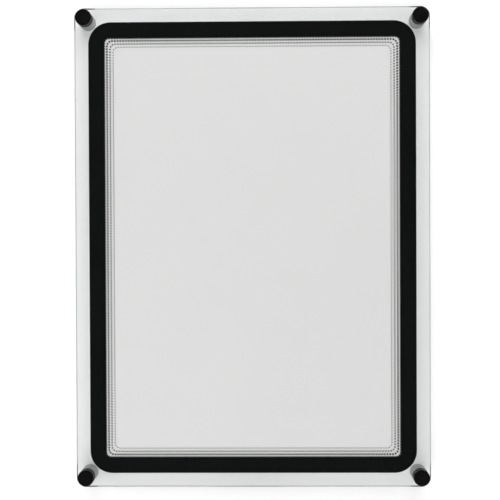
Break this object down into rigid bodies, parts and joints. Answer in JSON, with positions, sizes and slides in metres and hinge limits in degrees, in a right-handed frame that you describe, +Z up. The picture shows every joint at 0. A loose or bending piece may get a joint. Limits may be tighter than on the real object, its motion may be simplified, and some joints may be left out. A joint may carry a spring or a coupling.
{
  "type": "light table",
  "caption": "Slim edge-lit light table: clear sheets on corner stand-offs, a black printed border with a dotted edge, an opal window, an LED pack and a DC inlet behind.",
  "frame": {"origin": "middle of the footprint, on the surface that the foot pads stand on", "axes": "+Z up, out of the window; +Y along the long side, away from the user; +X to the user's right"},
  "size_m": [0.35, 0.473, 0.0332],
  "materials": {
    "clear_acrylic": "gloss",
    "guide_acrylic": "gloss",
    "black_print": "satin",
    "opal_acrylic": "satin",
    "white_film": "satin",
    "plate_aluminium": "satin",
    "rail_aluminium": "satin",
    "black_steel": "satin",
    "zinc_steel": "satin",
    "thermal_tape": "matte",
    "white_board": "satin",
    "led_package": "gloss",
    "white_foam": "matte",
    "black_abs": "matte",
    "green_board": "satin",
    "coil_ferrite": "matte",
    "capacitor_can": "satin",
    "chip_epoxy": "matte",
    "jack_nylon": "satin",
    "plated_pin": "polished",
    "grommet_rubber": "matte",
    "wire_red": "satin",
    "wire_black": "satin",
    "cap_black": "satin",
    "washer_nylon": "satin",
    "stud_steel": "satin",
    "barrel_aluminium": "satin",
    "washer_rubber": "matte",
    "pad_rubber": "matte"
  },
  "bodies": {
    "base": {"frame_sheet": "clear_acrylic", "opal_diffuser": "opal_acrylic", "light_guide": "guide_acrylic", "reflector": "white_film", "back_plate": "plate_aluminium", "back_plate_screws": "black_steel", "led_rail_left": "rail_aluminium", "led_rail_right": "rail_aluminium", "thermal_tape_left": "thermal_tape", "thermal_tape_right": "thermal_tape", "led_strip_left": "white_board", "led_strip_right": "white_board", "leds_left": "led_package", "leds_right": "led_package", "guide_spacer_near": "white_foam", "guide_spacer_far": "white_foam", "terminal_housing": "black_abs", "housing_screws": "zinc_steel", "terminal_board": "green_board", "board_screws": "zinc_steel", "driver_coil": "coil_ferrite", "driver_capacitor": "capacitor_can", "driver_chip": "chip_epoxy", "dc_jack": "jack_nylon", "dc_jack_pin": "plated_pin", "cable_grommet": "grommet_rubber", "wire_red_left": "wire_red", "wire_red_right": "wire_red", "wire_black_left": "wire_black", "wire_black_right": "wire_black", "barrel_near_left": "barrel_aluminium", "barrel_washer_near_left": "washer_rubber", "foot_pad_near_left": "pad_rubber", "barrel_near_right": "barrel_aluminium", "barrel_washer_near_right": "washer_rubber", "foot_pad_near_right": "pad_rubber", "barrel_far_left": "barrel_aluminium", "barrel_washer_far_left": "washer_rubber", "foot_pad_far_left": "pad_rubber", "barrel_far_right": "barrel_aluminium", "barrel_washer_far_right": "washer_rubber", "foot_pad_far_right": "pad_rubber"},
    "cover": {"cover_sheet": "clear_acrylic", "printed_border": "black_print"},
    "washer_near_left": {"cap_washer_near_left": "washer_nylon"},
    "cap_near_left": {"cap_near_left": "cap_black", "stud_near_left": "stud_steel"},
    "washer_near_right": {"cap_washer_near_right": "washer_nylon"},
    "cap_near_right": {"cap_near_right": "cap_black", "stud_near_right": "stud_steel"},
    "washer_far_left": {"cap_washer_far_left": "washer_nylon"},
    "cap_far_left": {"cap_far_left": "cap_black", "stud_far_left": "stud_steel"},
    "washer_far_right": {"cap_washer_far_right": "washer_nylon"},
    "cap_far_right": {"cap_far_right": "cap_black", "stud_far_right": "stud_steel"}
  },
  "joints": [
    {"name": "cover_lift", "type": "slide", "parent": "base", "child": "cover", "axis": [0, 0, 1], "range_m": [0, 0.05]},
    {"name": "cap_rise_near_left", "type": "slide", "parent": "cover", "child": "washer_near_left", "axis": [0, 0, 1], "range_m": [0, 0.008]},
    {"name": "cap_turn_near_left", "type": "hinge", "parent": "washer_near_left", "child": "cap_near_left", "pos_m": [-0.1655, -0.227, 0.0297], "axis": [0, 0, 1], "range_deg": [0, 2300]},
    {"name": "cap_rise_near_right", "type": "slide", "parent": "cover", "child": "washer_near_right", "axis": [0, 0, 1], "range_m": [0, 0.008]},
    {"name": "cap_turn_near_right", "type": "hinge", "parent": "washer_near_right", "child": "cap_near_right", "pos_m": [0.1655, -0.227, 0.0297], "axis": [0, 0, 1], "range_deg": [0, 2300]},
    {"name": "cap_rise_far_left", "type": "slide", "parent": "cover", "child": "washer_far_left", "axis": [0, 0, 1], "range_m": [0, 0.008]},
    {"name": "cap_turn_far_left", "type": "hinge", "parent": "washer_far_left", "child": "cap_far_left", "pos_m": [-0.1655, 0.227, 0.0297], "axis": [0, 0, 1], "range_deg": [0, 2300]},
    {"name": "cap_rise_far_right", "type": "slide", "parent": "cover", "child": "washer_far_right", "axis": [0, 0, 1], "range_m": [0, 0.008]},
    {"name": "cap_turn_far_right", "type": "hinge", "parent": "washer_far_right", "child": "cap_far_right", "pos_m": [0.1655, 0.227, 0.0297], "axis": [0, 0, 1], "range_deg": [0, 2300]}
  ],
  "couplings": [
    {"joint": "cap_rise_near_left", "follows": "cap_turn_near_left", "m_per_rad": 0.00019894},
    {"joint": "cap_rise_near_right", "follows": "cap_turn_near_right", "m_per_rad": 0.00019894},
    {"joint": "cap_rise_far_left", "follows": "cap_turn_far_left", "m_per_rad": 0.00019894},
    {"joint": "cap_rise_far_right", "follows": "cap_turn_far_right", "m_per_rad": 0.00019894}
  ]
}
